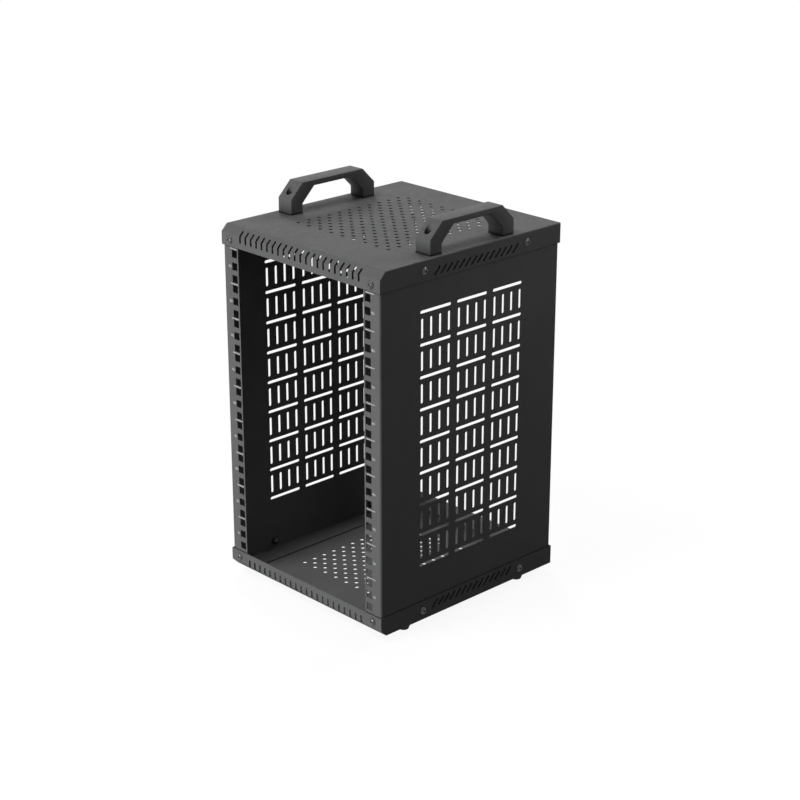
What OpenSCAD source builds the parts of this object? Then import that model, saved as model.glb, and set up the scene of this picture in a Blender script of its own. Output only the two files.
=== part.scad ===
// Ten-inch open frame equipment rack, nine units high, with two carry handles.
// Each side panel is one folded sheet that carries the front and rear rails.
// A vented cover and a matching tray close the top and the bottom, and the
// front and the back stay open. The front faces -Y and the feet stand on Z = 0.

/* [Rack standard] */
// Number of rack units between the tray and the cover
units = 9; // [4:1:12]
// Height of one rack unit
rack_unit = 44.45; // [42:0.05:48]
// Distance between the two columns of rail holes
hole_cols = 236.5; // [222:0.5:300]
// Distance between the three holes of one unit
hole_step = 15.875; // [14.5:0.125:16]
// Side of the square rail holes
hole_side = 9.5; // [7:0.1:10.5]

/* [Sheet metal] */
// Thickness of every folded sheet
sheet = 1; // [0.8:0.1:2]
// Inner bend radius of the side panels
bend_in = 2; // [0.6:0.1:3]
// Inner bend radius along the side edges of the cover and the tray
cover_bend_in = 0.4; // [0.2:0.1:1.5]
// Clearance between the panels and the cover or the tray
fit = 0.25; // [0.1:0.05:0.6]
// Relief between two folds that meet at a corner
relief = 1; // [0.5:0.1:3]

/* [Frame] */
// Depth over the cover
case_d = 300; // [270:1:420]
// Height of the cover and of the tray
cover_h = 25; // [23:0.5:40]
// Slanted front edge of the cover and the tray, back and down alike
chamfer = 9; // [6:0.5:11]
// Room between the outer rack units and the edge of the cover or the tray
rack_clear = 2.65; // [1:0.05:6]
// From a hole column out to the side panel's outer face
rail_out = 20.5; // [18:0.1:30]
// From a hole column in to the free edge of the rail
rail_in = 7.1; // [6.5:0.1:12]

/* [Flange vents] */
// Width of the narrow slots in the flanges of the cover and the tray
vent_w = 3; // [1.5:0.1:4]
// Distance from one narrow slot to the next
vent_pitch = 10; // [7:0.5:16]
// Start of the front slots above the free edge of the flange
front_vent_rise = 7; // [4:0.5:9]
// Uncut land between the front slots and the flat top
front_vent_land = 4.6; // [2:0.1:6]
// Height of the middle of the slanted side slots above the free edge
side_vent_rise = 9; // [8:0.5:12]
// Length of the slanted side slots
side_vent_len = 13.5; // [8:0.5:16]
// Slant of the side slots from the level
side_vent_slant = 45; // [30:1:90]
// Plain stretch between the side screws and the first slanted slot
side_vent_margin = 15; // [10:1:30]

/* [Perforation] */
// Diameter of the round holes in the top and in the floor
perf_d = 5.2; // [2:0.1:6]
// Distance between the holes of one row
perf_step = 19.9; // [14:0.1:22]
// Distance from one staggered row to the next
perf_row = 8.36; // [7:0.02:9]
// Holes in the longer rows
perf_cols = 9; // [3:1:9]
// Number of rows
perf_rows = 22; // [4:1:24]
// Middle of the perforated field behind the middle of the frame
perf_y = 8.5; // [-10:0.5:12]

/* [Side slots] */
// Width of the slots in the side panels
slot_w = 3.8; // [2.5:0.1:6]
// Length of the level slots
slot_len = 50; // [30:1:60]
// Plain strip between two columns of slots
slot_gap = 10; // [6:0.5:20]
// Height from one level slot to the next
slot_row = 40; // [32:0.5:60]
// Web between a level slot and the upright slots next to it
slot_web = 6; // [3:0.5:8]
// Upright slots between two level slots
bars = 4; // [2:1:5]
// Inset of the outer upright slots from the ends of the level slots
bar_inset = 1.35; // [0:0.05:5]
// Least plain border in front of and behind the slots
slot_margin_y = 55; // [45:1:80]
// Least plain border above and below the slots
slot_margin_z = 30; // [24:1:60]
// Middle of the slots behind the middle of the frame
slot_y = -0.5; // [-10:0.5:10]
// Middle of the slots above the middle of the rails
slot_lift = 6.3; // [-10:0.1:10]

/* [Handles] */
// Distance between the two screws of a handle
handle_pitch = 120; // [100:1:160]
// Width of a handle across the frame
handle_w = 24; // [16:0.5:26]
// Length of each leg from front to back
handle_leg = 18.7; // [15:0.1:24]
// Height of a handle
handle_h = 38.2; // [34:0.1:60]
// Height of the upright outer face of a leg
handle_leg_h = 18.8; // [16:0.1:24]
// Thickness of the slanted arms
handle_arm = 18; // [14:0.1:20]
// Thickness of the grip bar
handle_bar = 6.9; // [5:0.1:12]
// From the side of the cover in to the middle of a handle
handle_inset = 18.8; // [15:0.1:22]
// Middle of the handles behind the middle of the frame
handle_y = 4.5; // [-10:0.5:10]
// Diameter of the sunk screw holes in the legs
handle_cbore = 10; // [9.2:0.1:12]
// Height of the screw seat above the foot of a leg
handle_seat = 8; // [4:0.5:11]

/* [Fasteners] */
// Diameter of the screws
screw_d = 5; // [4:0.5:5]
// Length of the flange screws under the head
screw_len = 8; // [7:0.5:12]
// Extra diameter of every screw hole
screw_clear = 0.5; // [0.2:0.1:1]
// Diameter of the domed screw heads
head_d = 9.5; // [7:0.1:10]
// Height of the domed screw heads
head_h = 2.75; // [2:0.05:3.5]
// Straight rim below the dome
head_rim = 0.4; // [0.2:0.1:1]
// Key size of the domed screws
head_key = 3; // [2:0.5:3.5]
// Depth of the key socket in the domed screws
head_key_depth = 1.5; // [0.8:0.1:1.8]
// Diameter of the press nuts on the panels
nut_d = 9; // [8:0.1:10]
// Height of the press nuts
nut_h = 3.8; // [2.5:0.1:5]
// Play between a screw and its nut, all round
thread_play = 0.1; // [0.05:0.01:0.2]
// Head diameter of the handle screws
cap_d = 8.5; // [7.5:0.1:9]
// Head height of the handle screws
cap_h = 5; // [3:0.1:6]
// Key size of the handle screws
cap_key = 4; // [3:0.5:5]
// Depth of the key socket in the handle screws
cap_key_depth = 2.5; // [1:0.1:2.8]
// Width across the flats of the handle nuts
hex_af = 8; // [7:0.1:10]
// Height of the handle nuts
hex_h = 4.7; // [3:0.1:6]
// Thread that stands out past a handle nut
hex_proud = 1; // [0.5:0.5:3]
// From a hole column out to the front and rear screws
screw_out = 6.7; // [0:0.1:9]
// Distance between the two screws of a side flange
side_screw_span = 171; // [120:1:200]
// Middle of the side screws and the slanted slots behind the middle
side_screw_y = 5; // [-10:0.5:10]

/* [Feet] */
// Diameter of a rubber foot where it meets the tray
foot_d = 16; // [10:0.5:22]
// Diameter of the foot's tread
foot_tread_d = 13.5; // [6:0.5:20]
// Height of the feet
foot_h = 9; // [3:0.5:15]
// Height of the straight collar at the top of a foot
foot_collar = 5; // [1:0.5:7]
// Diameter of the hollow in the tread
foot_cup_d = 6; // [3:0.5:9]
// Depth of the hollow in the tread
foot_cup = 1.5; // [0.5:0.1:2.5]
// From the side of the tray in to the middle of a foot
foot_inset_x = 14; // [12:0.5:30]
// From the front and the back of the tray in to the middle of a foot
foot_inset_y = 50; // [20:1:80]

/* [Hidden] */

coat = "#3a3b3d";
steel = "#2b2c2e";
rubber = "#17181a";
round_fn = 48;
hole_fn = 24;
eps = 0.5;

// Folded sheet
bend_out = bend_in + sheet;
cover_bend_out = cover_bend_in + sheet;
wrap = sheet + fit;

// Levels from the floor up
bay_h = units * rack_unit + 2 * rack_clear;
bay_z0 = foot_h + cover_h;
bay_z1 = bay_z0 + bay_h;
mid_z = bay_z0 + bay_h / 2;
top_z = bay_z1 + cover_h;

// Side panels, measured from the middle of the frame
panel_x = hole_cols / 2 + rail_out;
rail_w = rail_out + rail_in;
case_w = 2 * (panel_x + wrap);
panel_d = case_d - 2 * wrap;
panel_half = bay_h / 2 + cover_h - wrap;
rail_half = bay_h / 2 + cover_h - chamfer - wrap / 2;
fold_half = panel_half - bend_out;
corner_cut = fold_half - rail_half;

// Slots of the side panels
slot_cols = floor((panel_d - 2 * slot_margin_y + slot_gap) / (slot_len + slot_gap));
slot_rows = floor((bay_h - 2 * slot_margin_z) / slot_row);
bar_len = slot_row - slot_w - 2 * slot_web;
bar_pitch = (slot_len - 2 * bar_inset - slot_w) / (bars - 1);

// Vents of the cover and the tray
front_vents = floor((hole_cols - 2 * rail_in) / vent_pitch);
side_vents = floor((side_screw_span - 2 * side_vent_margin) / vent_pitch);

// Screws
screw_hole = screw_d + screw_clear;
nut_bore = screw_d + 2 * thread_play;
front_screw_x = hole_cols / 2 + screw_out;
front_screw_rise = (cover_h - chamfer) / 2;
side_screw_rise = cover_h / 2;
side_screw_ys = [side_screw_y - side_screw_span / 2, side_screw_y + side_screw_span / 2];
handle_x = case_w / 2 - handle_inset;
handle_screw_ys = [handle_y - handle_pitch / 2, handle_y + handle_pitch / 2];
cap_len = handle_seat + sheet + wrap + hex_h + hex_proud;

// Round-ended slot along X, measured over its ends
module slot(length, width) {
    square([length - width, width], center = true);
    for (end = [-1, 1])
        translate([end * (length - width) / 2, 0])
            circle(d = width, $fn = hole_fn);
}

// Quarter of a bend, in the corner of the first quadrant
module bend(outer, inner) {
    intersection() {
        difference() {
            circle(outer, $fn = round_fn);
            circle(inner, $fn = round_fn);
        }
        square(outer);
    }
}

// Turns a drawing in Y and Z into a wall that is thick along X
module along_x(thick) {
    rotate([90, 0, 90])
        linear_extrude(thick)
            children();
}

// Turns a drawing in X and Z into a wall that is thick along Y
module along_y(thick) {
    translate([0, thick, 0])
        rotate([90, 0, 0])
            linear_extrude(thick)
                children();
}

// One side panel

module slot_field() {
    for (c = [0 : slot_cols - 1])
        translate([slot_y + (c - (slot_cols - 1) / 2) * (slot_len + slot_gap), 0]) {
            for (r = [0 : slot_rows])
                translate([0, slot_lift + (r - slot_rows / 2) * slot_row])
                    slot(slot_len, slot_w);
            for (r = [0 : slot_rows - 1], b = [0 : bars - 1])
                translate([
                    (b - (bars - 1) / 2) * bar_pitch,
                    slot_lift + (r - (slot_rows - 1) / 2) * slot_row
                ])
                    rotate(90)
                        slot(bar_len, slot_w);
        }
}

module panel_wall() {
    front = -panel_d / 2 + bend_out;
    back = panel_d / 2 - bend_out;
    difference() {
        polygon([
            [front, -rail_half], [front + corner_cut, -fold_half], [back, -fold_half],
            [back, fold_half], [front + corner_cut, fold_half], [front, rail_half]
        ]);
        slot_field();
        for (y = side_screw_ys, up = [-1, 1])
            translate([y, up * (bay_h / 2 + side_screw_rise)])
                circle(d = screw_hole, $fn = hole_fn);
    }
}

module rail_face(half) {
    difference() {
        translate([panel_x - rail_w, -half])
            square([rail_w - bend_out, 2 * half]);
        for (u = [0 : units - 1], h = [-1 : 1])
            translate([hole_cols / 2, (u - (units - 1) / 2) * rack_unit + h * hole_step])
                square(hole_side, center = true);
        for (up = [-1, 1])
            translate([front_screw_x, up * (bay_h / 2 + front_screw_rise)])
                circle(d = screw_hole, $fn = hole_fn);
    }
}

// Edges of the level flanges from front to back
flange_y0 = -panel_d / 2 + bend_out + corner_cut + relief;
flange_y1 = panel_d / 2 - bend_out - relief;

// Level flange along the top, less the holes given as children
module level_flange() {
    translate([0, 0, panel_half - sheet])
        linear_extrude(sheet)
            difference() {
                translate([panel_x - rail_w, flange_y0])
                    square([rail_w - bend_out, flange_y1 - flange_y0]);
                children();
            }
    translate([panel_x - bend_out, flange_y0, fold_half])
        along_y(flange_y1 - flange_y0)
            bend(bend_out, bend_in);
}

// Rail or rear fold along the front, from half its height below the middle to half above
module upright_flange(half) {
    translate([0, -panel_d / 2, 0])
        along_y(sheet)
            rail_face(half);
    translate([panel_x - bend_out, -panel_d / 2 + bend_out, -half])
        linear_extrude(2 * half)
            mirror([0, 1])
                bend(bend_out, bend_in);
}

module side_panel() {
    color(coat)
        translate([0, 0, mid_z]) {
            translate([panel_x - sheet, 0, 0])
                along_x(sheet)
                    panel_wall();
            upright_flange(rail_half);
            mirror([0, 1, 0])
                upright_flange(fold_half - relief);
            level_flange()
                for (y = handle_screw_ys)
                    translate([handle_x, y])
                        circle(d = screw_hole, $fn = hole_fn);
            mirror([0, 0, 1])
                level_flange();
        }
}

module right_side_panel() {
    side_panel();
}

module left_side_panel() {
    mirror([1, 0, 0])
        side_panel();
}

// Cover and tray, drawn with the free edge of the flanges at Z = 0

// Outline from front to back of the shell, set in by the given thickness
module shell_side(inset) {
    front = inset - case_d / 2;
    back = case_d / 2 - inset;
    slant = chamfer + inset * sqrt(2);
    polygon([
        [front, -2 * eps], [back, -2 * eps], [back, cover_h + eps],
        [slant + eps - case_d / 2, cover_h + eps], [front, cover_h + inset - slant]
    ]);
}

// Outline from side to side of the shell, set in by the given thickness
module shell_front(inset, radius) {
    half = case_w / 2 - inset;
    top = cover_h - inset;
    foot = inset > 0 ? -eps : 0;
    translate([-half, foot])
        square([2 * half, top - radius - foot]);
    translate([-half + radius, top - radius - eps])
        square([2 * (half - radius), radius + eps]);
    for (s = [-1, 1])
        translate([s * (half - radius), top - radius])
            circle(radius, $fn = round_fn);
}

module shell_block(inset, radius) {
    intersection() {
        translate([-case_w / 2 - eps, 0, 0])
            along_x(case_w + 2 * eps)
                shell_side(inset);
        translate([0, -case_d / 2 - eps, 0])
            along_y(case_d + 2 * eps)
                shell_front(inset, radius);
    }
}

// One front slot seen from the front, with its upper end foreshortened by the slanted edge
module front_vent() {
    half = vent_w / 2;
    top = cover_h - front_vent_land / sqrt(2);
    cap = half / sqrt(2);
    cap_r = (half * half + cap * cap) / (2 * cap);
    neck = (cap + cap_r) / 2;
    translate([0, front_vent_rise + half])
        circle(half, $fn = hole_fn);
    translate([-half, front_vent_rise + half])
        square([vent_w, top - neck - front_vent_rise - half]);
    intersection() {
        translate([0, top - cap_r])
            circle(cap_r, $fn = hole_fn);
        translate([-half, top - cap_r])
            square([vent_w, cap_r]);
    }
}

// Slots that run up the front flange and on over the slanted edge
module front_vent_cuts() {
    translate([0, -case_d / 2 - eps, 0])
        along_y(chamfer + 2 * sheet + eps)
            for (k = [0 : front_vents - 1])
                translate([(k - (front_vents - 1) / 2) * vent_pitch, 0])
                    front_vent();
}

// Slanted slots through both side flanges
module side_vent_cuts(slant) {
    translate([-case_w / 2 - eps, 0, 0])
        along_x(case_w + 2 * eps)
            for (k = [0 : side_vents - 1])
                translate([side_screw_y + (k - (side_vents - 1) / 2) * vent_pitch, side_vent_rise])
                    rotate(slant)
                        slot(side_vent_len, vent_w);
}

// Staggered round holes through the flat of the shell
module perforation_cuts() {
    translate([0, 0, cover_h - sheet - eps])
        linear_extrude(sheet + 2 * eps)
            for (r = [0 : perf_rows - 1])
                let (cols = perf_cols - r % 2)
                    for (c = [0 : cols - 1])
                        translate([
                            (c - (cols - 1) / 2) * perf_step,
                            perf_y + (r - (perf_rows - 1) / 2) * perf_row
                        ])
                            circle(d = perf_d, $fn = hole_fn);
}

module flange_screw_cuts() {
    for (x = [-front_screw_x, front_screw_x])
        translate([x, 0, front_screw_rise])
            rotate([90, 0, 0])
                cylinder(d = screw_hole, h = case_d + 2 * eps, center = true, $fn = hole_fn);
    for (y = side_screw_ys)
        translate([0, y, side_screw_rise])
            rotate([0, 90, 0])
                cylinder(d = screw_hole, h = case_w + 2 * eps, center = true, $fn = hole_fn);
}

module vented_shell(slant) {
    difference() {
        shell_block(0, cover_bend_out);
        shell_block(sheet, cover_bend_in);
        front_vent_cuts();
        side_vent_cuts(slant);
        perforation_cuts();
        flange_screw_cuts();
        children();
    }
}

module top_cover() {
    color(coat)
        translate([0, 0, bay_z1])
            vented_shell(side_vent_slant)
                for (x = [-handle_x, handle_x], y = handle_screw_ys)
                    translate([x, y, 0])
                        cylinder(d = screw_hole, h = cover_h + eps, $fn = hole_fn);
}

module bottom_tray() {
    color(coat)
        translate([0, 0, bay_z0])
            mirror([0, 0, 1])
                vented_shell(-side_vent_slant);
}

// Handles

module handle_outline() {
    half = (handle_pitch + handle_leg) / 2;
    slope = handle_h - handle_leg_h;
    inner = half - handle_leg;
    inner_h = handle_leg_h + handle_leg - handle_arm * sqrt(2);
    inner_slope = handle_h - handle_bar - inner_h;
    polygon([
        [-half, 0], [-half, handle_leg_h], [-half + slope, handle_h],
        [half - slope, handle_h], [half, handle_leg_h], [half, 0],
        [inner, 0], [inner, inner_h], [inner - inner_slope, inner_h + inner_slope],
        [-inner + inner_slope, inner_h + inner_slope], [-inner, inner_h], [-inner, 0]
    ]);
}

module handle(side) {
    color(coat)
        difference() {
            translate([side * handle_x - handle_w / 2, handle_y, top_z])
                along_x(handle_w)
                    handle_outline();
            for (y = handle_screw_ys)
                translate([side * handle_x, y, top_z]) {
                    translate([0, 0, -eps])
                        cylinder(d = screw_hole, h = handle_h, $fn = round_fn);
                    translate([0, 0, handle_seat])
                        cylinder(d = handle_cbore, h = handle_h, $fn = round_fn);
                }
        }
}

module left_handle() {
    handle(-1);
}

module right_handle() {
    handle(1);
}

// Fasteners, drawn with the seat of the head at Z = 0 and the shank below

module key_socket(across, depth, top) {
    translate([0, 0, top - depth])
        cylinder(r = across / sqrt(3), h = depth + eps, $fn = 6);
}

module domed_screw() {
    dome_h = head_h - head_rim;
    dome_r = (pow(head_d / 2, 2) + pow(dome_h, 2)) / (2 * dome_h);
    color(steel)
        difference() {
            union() {
                translate([0, 0, -screw_len])
                    cylinder(d = screw_d, h = screw_len + head_rim, $fn = round_fn);
                intersection() {
                    cylinder(d = head_d, h = head_h, $fn = round_fn);
                    translate([0, 0, head_h - dome_r])
                        sphere(dome_r, $fn = round_fn);
                }
            }
            key_socket(head_key, head_key_depth, head_h);
        }
}

module cap_screw() {
    color(steel)
        difference() {
            union() {
                translate([0, 0, -cap_len])
                    cylinder(d = screw_d, h = cap_len + eps, $fn = round_fn);
                cylinder(d = cap_d, h = cap_h, $fn = round_fn);
            }
            key_socket(cap_key, cap_key_depth, cap_h);
        }
}

// Round nut pressed into a panel, with its seat at Z = 0
module press_nut() {
    color(steel)
        difference() {
            cylinder(d = nut_d, h = nut_h, $fn = round_fn);
            translate([0, 0, -eps])
                cylinder(d = nut_bore, h = nut_h + 2 * eps, $fn = round_fn);
        }
}

module hex_nut() {
    color(steel)
        difference() {
            cylinder(r = hex_af / sqrt(3), h = hex_h, $fn = 6);
            translate([0, 0, -eps])
                cylinder(d = nut_bore, h = hex_h + 2 * eps, $fn = round_fn);
        }
}

cover_front_z = bay_z1 + front_screw_rise;
tray_front_z = bay_z0 - front_screw_rise;
cover_side_z = bay_z1 + side_screw_rise;
tray_side_z = bay_z0 - side_screw_rise;

// A pair of screws in a front (-1) or rear (1) flange
module end_screws(end, z) {
    for (x = [-front_screw_x, front_screw_x])
        translate([x, end * case_d / 2, z])
            rotate([-90 * end, 0, 0])
                domed_screw();
}

// A pair of screws in a left (-1) or right (1) flange
module side_screws(side, z) {
    for (y = side_screw_ys)
        translate([side * case_w / 2, y, z])
            rotate([0, 90 * side, 0])
                domed_screw();
}

// Nuts behind the rail of one side, at the front (-1) or the rear (1)
module end_nuts(side, end) {
    for (z = [tray_front_z, cover_front_z])
        translate([side * front_screw_x, end * (panel_d / 2 - sheet), z])
            rotate([90 * end, 0, 0])
                press_nut();
}

module wall_nuts(side) {
    for (y = side_screw_ys, z = [tray_side_z, cover_side_z])
        translate([side * (panel_x - sheet), y, z])
            rotate([0, -90 * side, 0])
                press_nut();
}

module handle_screws(side) {
    for (y = handle_screw_ys)
        translate([side * handle_x, y, top_z + handle_seat])
            cap_screw();
}

module handle_nuts(side) {
    for (y = handle_screw_ys)
        translate([side * handle_x, y, mid_z + panel_half - sheet])
            mirror([0, 0, 1])
                hex_nut();
}

// Moulded rubber foot that sticks to the underside of the tray
module foot(side, end) {
    color(rubber)
        translate([side * (case_w / 2 - foot_inset_x), end * (case_d / 2 - foot_inset_y), 0])
            rotate_extrude($fn = round_fn)
                polygon([
                    [0, foot_cup], [foot_cup_d / 2, 0], [foot_tread_d / 2, 0],
                    [foot_d / 2, foot_h - foot_collar], [foot_d / 2, foot_h], [0, foot_h]
                ]);
}

top_cover();
bottom_tray();
left_side_panel();
right_side_panel();
left_handle();
right_handle();
handle_screws(-1);  // left_handle_screws
handle_screws(1);  // right_handle_screws
handle_nuts(-1);  // left_handle_nuts
handle_nuts(1);  // right_handle_nuts
end_screws(-1, cover_front_z);  // cover_front_screws
end_screws(1, cover_front_z);  // cover_rear_screws
side_screws(-1, cover_side_z);  // cover_left_screws
side_screws(1, cover_side_z);  // cover_right_screws
end_screws(-1, tray_front_z);  // tray_front_screws
end_screws(1, tray_front_z);  // tray_rear_screws
side_screws(-1, tray_side_z);  // tray_left_screws
side_screws(1, tray_side_z);  // tray_right_screws
end_nuts(-1, -1);  // left_front_nuts
wall_nuts(-1);  // left_side_nuts
end_nuts(-1, 1);  // left_rear_nuts
end_nuts(1, -1);  // right_front_nuts
wall_nuts(1);  // right_side_nuts
end_nuts(1, 1);  // right_rear_nuts
foot(-1, -1);  // front_left_foot
foot(1, -1);  // front_right_foot
foot(-1, 1);  // rear_left_foot
foot(1, 1);  // rear_right_foot
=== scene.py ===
"""Dresses the ten-inch open frame rack: coat, handles, fasteners, feet, rail print and studio."""

import logging
import math
from collections.abc import Callable
from dataclasses import dataclass, field
from enum import Enum

import bmesh
import bpy
from bmesh.types import BMesh
from bpy.types import Material, NodeSocket, NodeTree, Object, ShaderNode
from mathutils import Matrix, Vector


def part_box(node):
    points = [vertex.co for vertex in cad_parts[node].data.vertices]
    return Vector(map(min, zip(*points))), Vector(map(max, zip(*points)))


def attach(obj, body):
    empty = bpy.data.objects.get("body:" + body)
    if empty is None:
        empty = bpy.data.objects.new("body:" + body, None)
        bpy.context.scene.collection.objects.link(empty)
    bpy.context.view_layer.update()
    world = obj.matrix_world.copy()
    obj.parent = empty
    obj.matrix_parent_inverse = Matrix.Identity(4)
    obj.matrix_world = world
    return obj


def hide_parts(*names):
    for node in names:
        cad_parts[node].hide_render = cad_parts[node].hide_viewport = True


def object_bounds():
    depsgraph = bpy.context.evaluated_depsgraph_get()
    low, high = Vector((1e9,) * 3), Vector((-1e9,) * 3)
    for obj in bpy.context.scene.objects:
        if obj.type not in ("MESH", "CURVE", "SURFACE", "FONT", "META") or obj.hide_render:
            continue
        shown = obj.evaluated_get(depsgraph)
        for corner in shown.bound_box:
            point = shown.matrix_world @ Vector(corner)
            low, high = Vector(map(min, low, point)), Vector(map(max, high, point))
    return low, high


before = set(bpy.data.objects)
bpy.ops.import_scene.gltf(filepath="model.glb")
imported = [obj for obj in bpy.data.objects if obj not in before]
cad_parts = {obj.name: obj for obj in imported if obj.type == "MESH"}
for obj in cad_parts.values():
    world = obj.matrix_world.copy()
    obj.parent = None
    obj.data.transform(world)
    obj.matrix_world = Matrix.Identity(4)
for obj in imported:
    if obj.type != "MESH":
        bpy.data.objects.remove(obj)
CAD_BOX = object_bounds()

log = logging.getLogger("rack")

MM = 0.001
UP = Vector((0, 0, 1))
BODY = "root"
# Points of one node that lie closer together than this are one point
WELD = 0.002 * MM
# Faces that meet at a wider angle than this keep a sharp edge between them
SMOOTH_ANGLE = math.radians(32)
# Decimals of a metre that put like solids in a fixed order
ORDER_DIGITS = 5
# Range that holds most values of a noise node
NOISE_RANGE = (0.3, 0.7)

Colour = tuple[float, float, float]
RingPoint = Callable[[float], tuple[float, float]]


class Slot(Enum):
    """The record's material slots."""

    COAT = "powder_coat"
    HANDLE = "handle"
    SCREW = "screw"
    NUT = "nut"
    RUBBER = "rubber"


class Side(Enum):
    """The two sides of the frame, as the sign of X."""

    LEFT = -1
    RIGHT = 1

    @property
    def word(self) -> str:
        """The side's name as the nodes spell it."""
        return self.name.lower()


class Face(Enum):
    """The four upright faces of the cover and the tray, as the direction that each looks in."""

    FRONT = (0, -1, 0)
    REAR = (0, 1, 0)
    LEFT = (-1, 0, 0)
    RIGHT = (1, 0, 0)

    @property
    def word(self) -> str:
        """The face's name as the nodes spell it."""
        return self.name.lower()

    @property
    def outward(self) -> Vector:
        """The direction out of the face."""
        return Vector(self.value)


@dataclass(frozen=True)
class Box:
    """Lowest and highest corner of one solid."""

    low: Vector
    high: Vector

    @property
    def middle(self) -> Vector:
        """The box's middle."""
        return (self.low + self.high) / 2

    @property
    def size(self) -> Vector:
        """The box's sides."""
        return self.high - self.low

    def end(self, way: Vector) -> Vector:
        """The point on the middle line where the box ends in a direction along an axis.

        Args:
            way: a unit vector along X, Y or Z.

        Returns:
            The middle of the box's face on that side.
        """
        reach = sum(abs(w) * s for w, s in zip(way, self.size))
        return self.middle + way * reach / 2


def direction(azimuth: float, elevation: float) -> Vector:
    """Gives the way from the rack to a lamp or to the camera.

    Args:
        azimuth: degrees from straight in front towards the rack's right.
        elevation: degrees above the level.

    Returns:
        A unit vector.
    """
    turn, lift = math.radians(azimuth), math.radians(elevation)
    return Vector((math.sin(turn) * math.cos(lift), -math.cos(turn) * math.cos(lift), math.sin(lift)))


def welded(node: str) -> BMesh:
    """Copies a node's mesh and joins the points that its faces share.

    Args:
        node: the node's name.

    Returns:
        A new mesh in the shared frame.
    """
    bm = bmesh.new()
    bm.from_mesh(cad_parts[node].data)
    bmesh.ops.remove_doubles(bm, verts=bm.verts, dist=WELD)
    return bm


def solids_of(node: str) -> list[Box]:
    """Finds the separate solids of a node that holds a group of like fasteners.

    Args:
        node: the node's name.

    Returns:
        One box for each solid, in a fixed order.
    """
    bm = welded(node)
    boxes, seen = [], set()
    for start in bm.verts:
        if start in seen:
            continue
        island, queue = [], [start]
        seen.add(start)
        while queue:
            vert = queue.pop()
            island.append(vert.co)
            near = [edge.other_vert(vert) for edge in vert.link_edges]
            fresh = [other for other in near if other not in seen]
            seen.update(fresh)
            queue.extend(fresh)
        low = Vector(min(co[i] for co in island) for i in range(3))
        high = Vector(max(co[i] for co in island) for i in range(3))
        boxes.append(Box(low, high))
    bm.free()
    return sorted(boxes, key=lambda box: tuple(round(c, ORDER_DIGITS) for c in box.middle))


class ShaderTree:
    """A material's node tree, with short calls that add and join nodes."""

    def __init__(self, name: str) -> None:
        """Makes an empty material.

        Args:
            name: the material's name.
        """
        self.material = bpy.data.materials.new(name)
        self.material.use_nodes = True
        self.tree = self.material.node_tree
        self.tree.nodes.clear()

    def add(self, kind: str, values: dict[str, object] | None = None, **settings: object) -> ShaderNode:
        """Adds one node.

        Args:
            kind: the node's type.
            values: what its input sockets hold, by socket name.
            settings: the node's own properties.

        Returns:
            The new node.
        """
        node = self.tree.nodes.new(kind)
        for key, value in settings.items():
            setattr(node, key, value)
        for key, value in (values or {}).items():
            node.inputs[key].default_value = value
        return node

    def link(self, source: NodeSocket, target: NodeSocket) -> None:
        """Joins two sockets."""
        self.tree.links.new(source, target)

    def join(self, source: ShaderNode, out: str, target: ShaderNode, into: str) -> None:
        """Joins an output socket to an input socket."""
        self.link(source.outputs[out], target.inputs[into])

    def noise(self, grain: float, detail: float = 2.0, rough: float = 0.5) -> ShaderNode:
        """Adds noise of a given grain size, laid through the solid.

        Args:
            grain: size of one grain in metres.
            detail: octaves of finer noise.
            rough: how strong the finer octaves are.

        Returns:
            The noise node.
        """
        place = self.add("ShaderNodeTexCoord")
        node = self.add("ShaderNodeTexNoise", {"Scale": 1 / grain, "Detail": detail, "Roughness": rough})
        self.join(place, "Object", node, "Vector")
        return node

    def spread(self, source: ShaderNode, low: float, high: float, target: ShaderNode, into: str) -> None:
        """Feeds noise to a socket, stretched to the given ends.

        Args:
            source: the noise node.
            low: value in the noise's darker parts.
            high: value in its lighter parts.
            target: the node that takes the value.
            into: its input socket.
        """
        dark, light = NOISE_RANGE
        ends = {"From Min": dark, "From Max": light, "To Min": low, "To Max": high}
        ramp = self.add("ShaderNodeMapRange", ends)
        self.join(source, "Fac", ramp, "Value")
        self.join(ramp, "Result", target, into)

    def tint(self, source: ShaderNode, colour: Colour, drift: float,
             target: ShaderNode, into: str = "Base Color") -> None:
        """Feeds a colour to a socket, with a slow drift between a darker and a lighter tone.

        Args:
            source: the noise that places the tones.
            colour: the middle tone.
            drift: share by which the tones differ from it.
            target: the node that takes the colour.
            into: its input socket.
        """
        ramp = self.add("ShaderNodeValToRGB")
        for stop, share, place in zip(ramp.color_ramp.elements, (1 - drift, 1 + drift), NOISE_RANGE):
            stop.position = place
            stop.color = (*(c * share for c in colour), 1)
        self.join(source, "Fac", ramp, "Fac")
        self.join(ramp, "Color", target, into)

    def bump(self, source: ShaderNode, height: float, below: ShaderNode | None) -> ShaderNode:
        """Adds relief on top of an earlier relief or softened edge.

        Args:
            source: the noise that gives the height.
            height: height of the relief in metres.
            below: the node whose normal the relief starts from, if there is one.

        Returns:
            The bump node.
        """
        node = self.add("ShaderNodeBump", {"Strength": 1.0, "Distance": height})
        self.join(source, "Fac", node, "Height")
        if below is not None:
            self.join(below, "Normal", node, "Normal")
        return node

    def surface(self, shader: ShaderNode, out: str = "BSDF") -> Material:
        """Sends a shader to the surface.

        Args:
            shader: the shader.
            out: its output socket.

        Returns:
            The finished material.
        """
        end = self.add("ShaderNodeOutputMaterial")
        self.join(shader, out, end, "Surface")
        return self.material


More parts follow.
